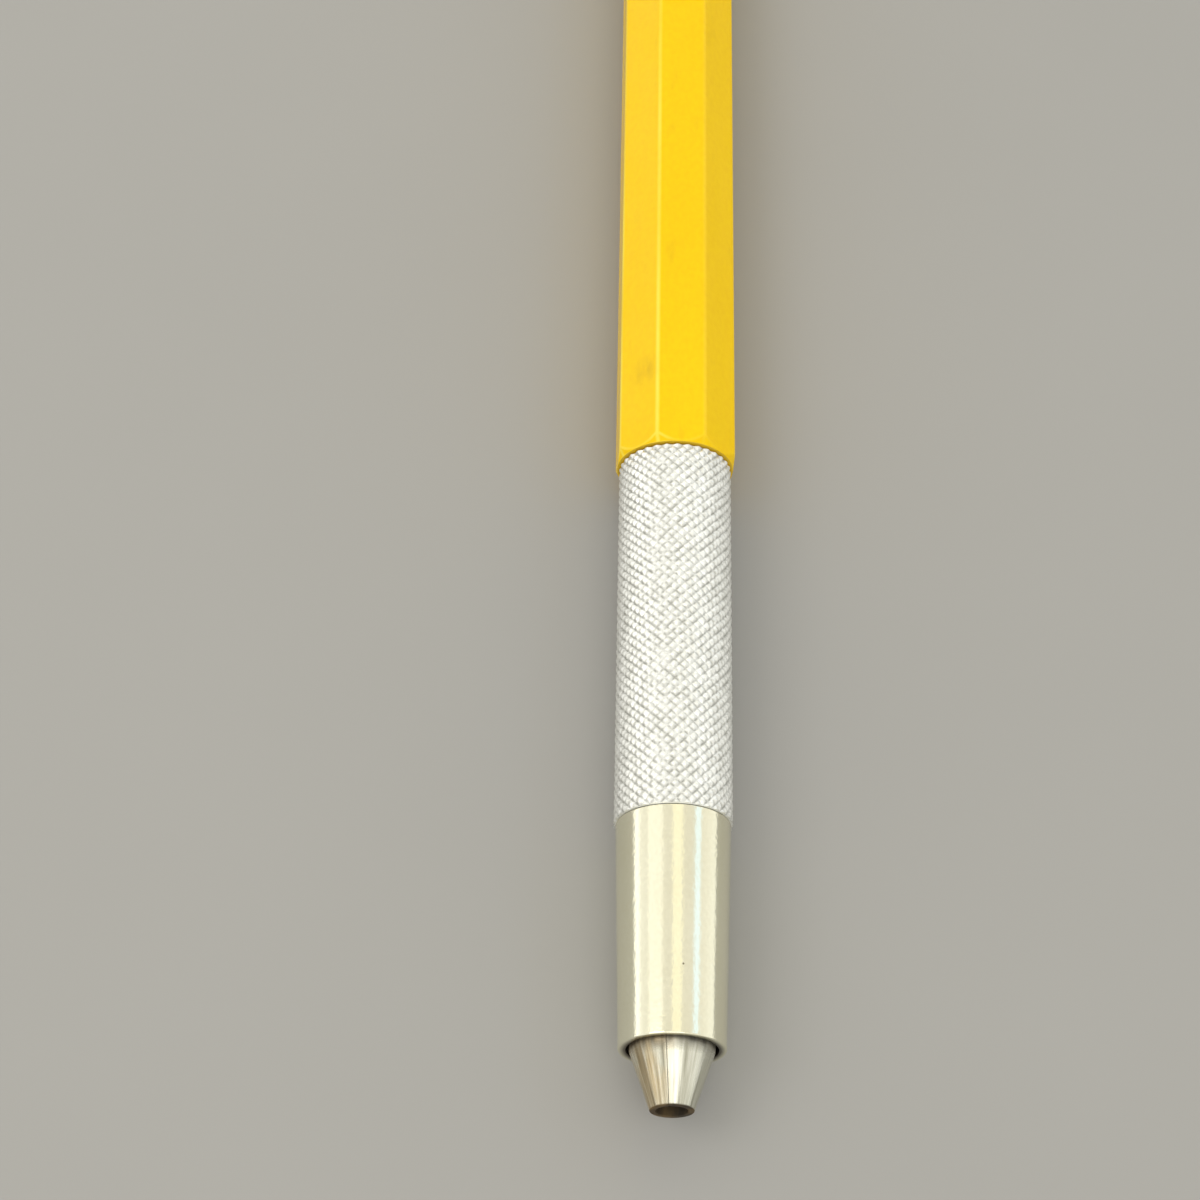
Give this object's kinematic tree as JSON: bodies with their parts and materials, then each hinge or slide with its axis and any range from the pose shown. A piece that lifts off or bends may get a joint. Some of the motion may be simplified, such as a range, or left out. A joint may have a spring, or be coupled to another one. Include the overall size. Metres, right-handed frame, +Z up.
{
  "type": "clutch lead holder",
  "caption": "Push-button clutch lead holder for drafting: eight-sided lacquered barrel, knurled metal grip, turned nose and a split collet that grips a thick lead.",
  "frame": {"origin": "middle of the pencil's length, on the surface that it lies on, under its axis", "axes": "+Y along the pencil from the tip to the button, +Z up through a flat of the barrel, +X across"},
  "size_m": [0.0082, 0.1482, 0.0083],
  "materials": {
    "yellow_lacquer": "glossy lacquer",
    "grip_aluminium": "fine diamond knurl, satin",
    "polished_nickel": "turned and polished",
    "collet_nickel": "nickel plated, turned",
    "core_brass": "turned",
    "spring_steel": "drawn wire",
    "graphite": "satin graphite"
  },
  "bodies": {
    "holder": {"barrel": "yellow_lacquer", "rear_ferrule": "polished_nickel", "grip_core": "core_brass", "grip_sleeve": "grip_aluminium", "nose_cap": "polished_nickel", "spring_seat": "core_brass", "return_spring": "spring_steel"},
    "plunger": {"lead_tube": "core_brass", "collet_body": "core_brass", "spring_collar": "core_brass", "push_button": "polished_nickel"},
    "jaw_1": {"collet_jaw_1": "collet_nickel"},
    "jaw_2": {"collet_jaw_2": "collet_nickel"},
    "jaw_3": {"collet_jaw_3": "collet_nickel"},
    "lead_stick": {"lead": "graphite"}
  },
  "joints": [
    {"name": "button_slide", "type": "slide", "parent": "holder", "child": "plunger", "axis": [0, -1, 0], "range_m": [0, 0.0035], "stiffness_N_per_m": 500, "springref_m": -0.006, "deforming": ["return_spring"]},
    {"name": "jaw_1_open", "type": "hinge", "parent": "plunger", "child": "jaw_1", "pos_m": [-0.00156, -0.0571, 0.0046], "axis": [-0.2756, 0, -0.9613], "range_deg": [0, 1.2]},
    {"name": "jaw_2_open", "type": "hinge", "parent": "plunger", "child": "jaw_2", "pos_m": [0.00039, -0.0571, 0.00257], "axis": [0.9703, 0, 0.2419], "range_deg": [0, 1.2]},
    {"name": "jaw_3_open", "type": "hinge", "parent": "plunger", "child": "jaw_3", "pos_m": [0.00117, -0.0571, 0.00528], "axis": [-0.6947, 0, 0.7193], "range_deg": [0, 1.2]},
    {"name": "lead_slide", "type": "slide", "parent": "plunger", "child": "lead_stick", "axis": [0, -1, 0], "range_m": [0, 0.012]}
  ],
  "couplings": [
    {"joint": "jaw_1_open", "follows": "button_slide", "rad_per_m": 5.98},
    {"joint": "jaw_2_open", "follows": "button_slide", "rad_per_m": 5.98},
    {"joint": "jaw_3_open", "follows": "button_slide", "rad_per_m": 5.98}
  ]
}
